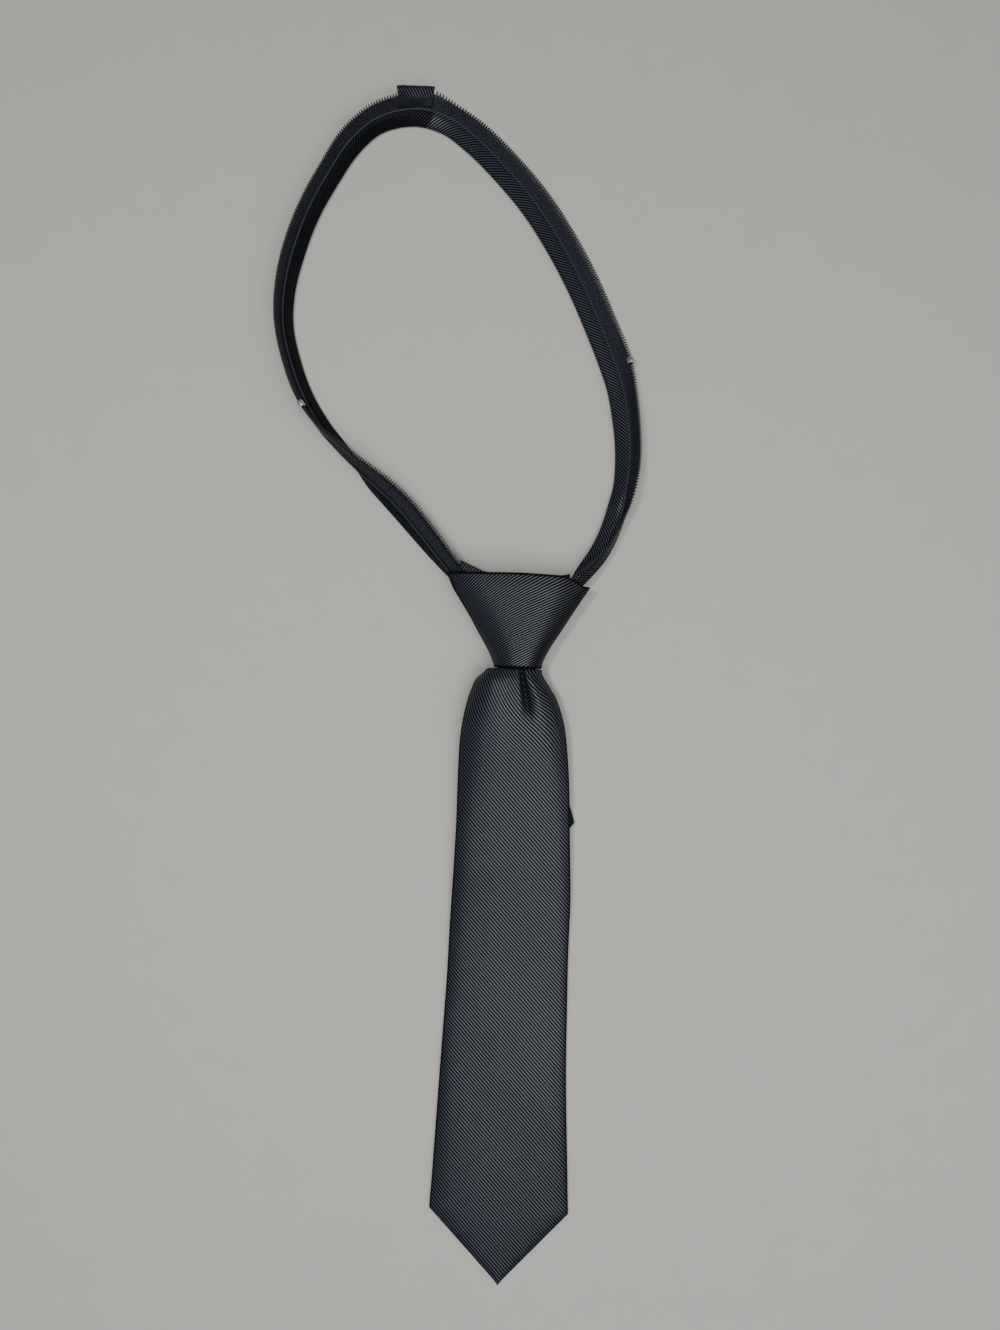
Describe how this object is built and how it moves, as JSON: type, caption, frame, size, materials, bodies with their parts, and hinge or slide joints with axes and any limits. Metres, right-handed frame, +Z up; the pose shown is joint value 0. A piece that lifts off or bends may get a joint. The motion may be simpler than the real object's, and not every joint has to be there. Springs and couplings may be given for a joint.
{
  "type": "pre-tied necktie",
  "caption": "Child's ready-tied necktie in dark ribbed twill, lying flat: pointed blade with a dimple under a wrapped knot, and a zip-up neck loop with a cloth tab.",
  "frame": {"origin": "on the surface the tie lies on, under the middle of its overall length and width", "axes": "+Y from the tip of the blade to the back of the neck loop, +Z up out of the front of the tie, +X to the right seen from the front"},
  "size_m": [0.1814, 0.5978, 0.0204],
  "materials": {
    "twill_cloth": "ribbed diagonal twill, soft sheen",
    "woven_tape": "fine plain weave, matt",
    "nylon_coil": "smooth moulded nylon",
    "plated_metal": "plain plated, soft shine"
  },
  "bodies": {
    "root": {"front_blade": "twill_cloth", "knot": "twill_cloth", "knot_inner": "twill_cloth", "strap_left": "twill_cloth", "strap_right": "twill_cloth", "strap_tab": "twill_cloth", "tail": "twill_cloth", "zip_tape_left": "woven_tape", "zip_tape_right": "woven_tape", "zip_teeth_left": "nylon_coil", "zip_teeth_right": "nylon_coil", "zip_stop_left": "plated_metal", "zip_stop_right": "plated_metal", "zip_slider": "plated_metal"}
  },
  "joints": []
}
